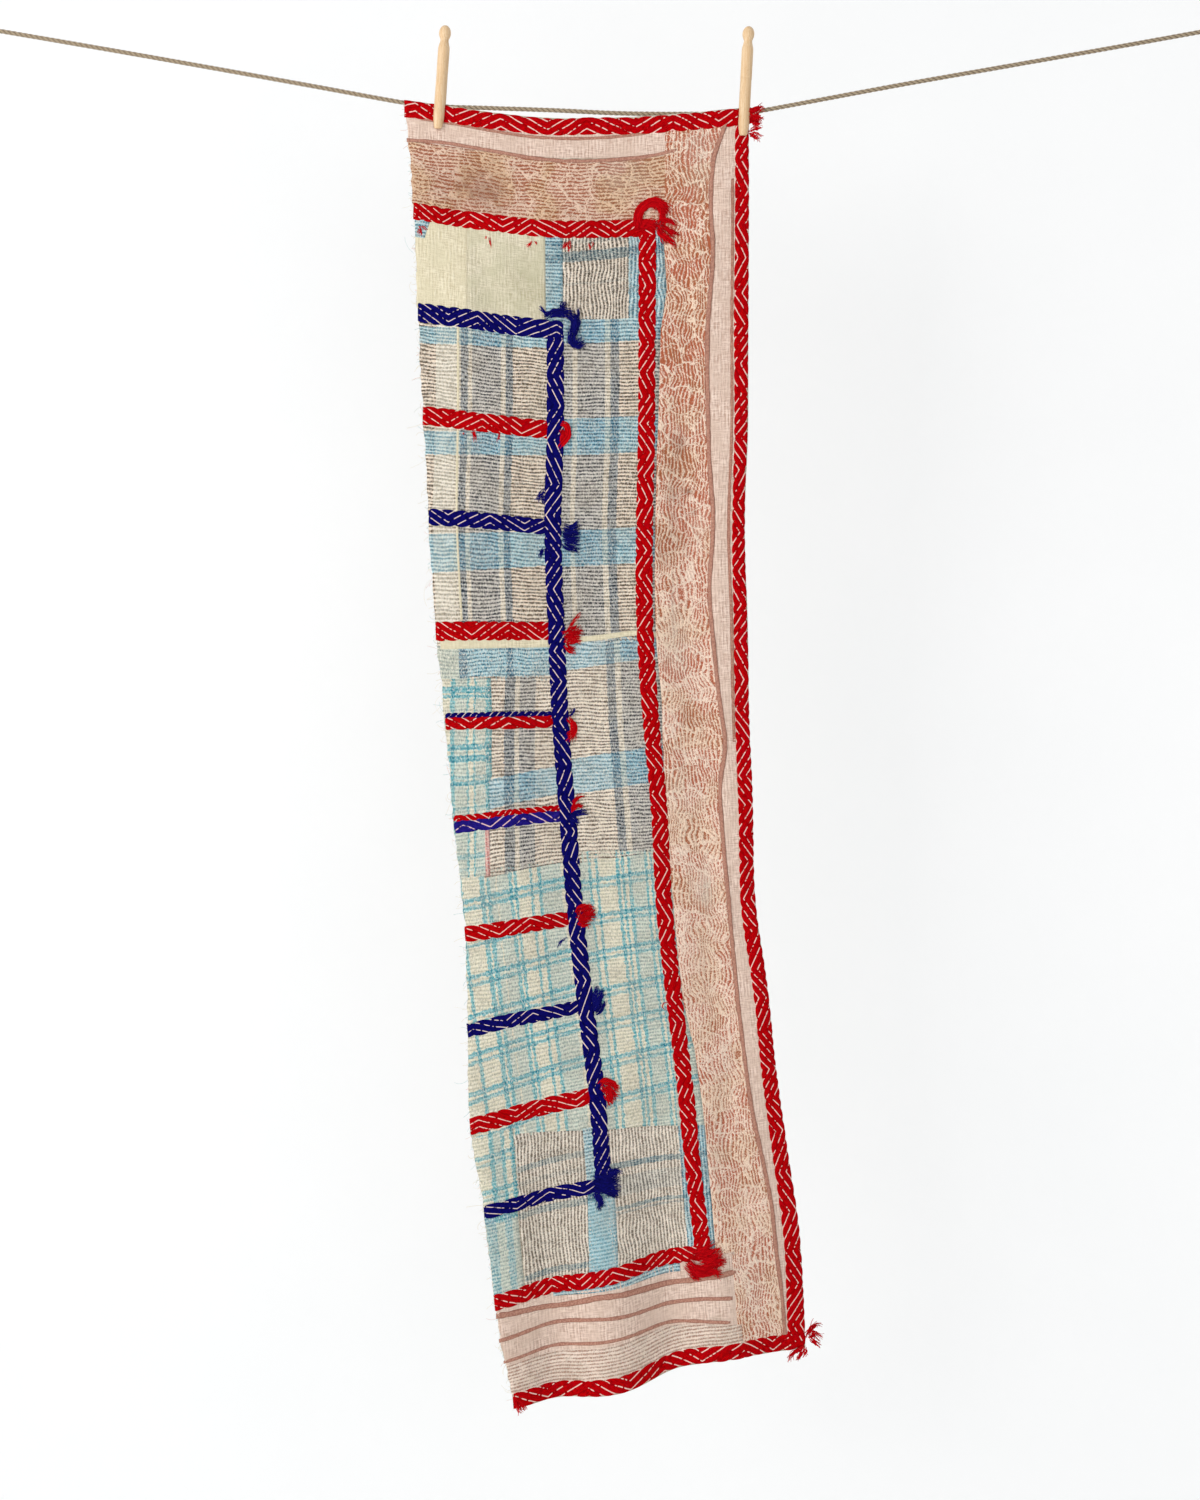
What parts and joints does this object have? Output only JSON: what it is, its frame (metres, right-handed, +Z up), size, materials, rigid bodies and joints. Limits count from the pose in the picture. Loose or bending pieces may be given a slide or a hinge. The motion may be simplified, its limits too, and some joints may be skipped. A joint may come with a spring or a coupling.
{
  "type": "kantha cloth on a peg line",
  "caption": "Long narrow kantha cloth with raised red and navy pattern-stitched bands and yarn tufts, pegged by its top edge to a looped twine line.",
  "frame": {"origin": "inside of the left end loop of the line, where its hook bears", "axes": "+X to the right along the line, +Y away from the stitched face towards the wall, +Z up"},
  "size_m": [1.2978, 0.1076, 1.4057],
  "materials": {
    "cloth": "worn quilted cotton, matt",
    "red_yarn": "soft matt yarn",
    "navy_yarn": "soft matt yarn",
    "twine": "coarse natural fibre, matt",
    "beech": "bare sanded wood"
  },
  "bodies": {
    "root": {"cloth": "cloth", "band_outer_top": "red_yarn", "band_outer_right": "red_yarn", "band_outer_bottom": "red_yarn", "band_inner_top": "red_yarn", "band_inner_right": "red_yarn", "band_inner_bottom": "red_yarn", "band_navy": "navy_yarn", "rung_1": "navy_yarn", "rung_2": "red_yarn", "rung_3": "navy_yarn", "rung_4": "red_yarn", "rung_5": "red_yarn", "rung_6": "navy_yarn", "rung_7": "red_yarn", "rung_8": "navy_yarn", "rung_9": "red_yarn", "rung_10": "navy_yarn", "tuft_outer_top": "red_yarn", "tuft_inner_top_curl": "red_yarn", "tuft_inner_top_fan": "red_yarn", "tuft_navy_top": "navy_yarn", "tuft_rung_2": "red_yarn", "tuft_rung_3": "navy_yarn", "tuft_rung_4": "red_yarn", "tuft_rung_5": "red_yarn", "tuft_rung_6": "navy_yarn", "tuft_rung_7": "red_yarn", "tuft_rung_8": "navy_yarn", "tuft_rung_9": "red_yarn", "tuft_navy_bottom": "navy_yarn", "tuft_inner_bottom": "red_yarn", "tuft_outer_bottom": "red_yarn", "tuft_outer_corner": "red_yarn", "peg_left": "beech", "peg_right": "beech", "line": "twine", "loop_left": "twine", "loop_right": "twine"}
  },
  "joints": []
}
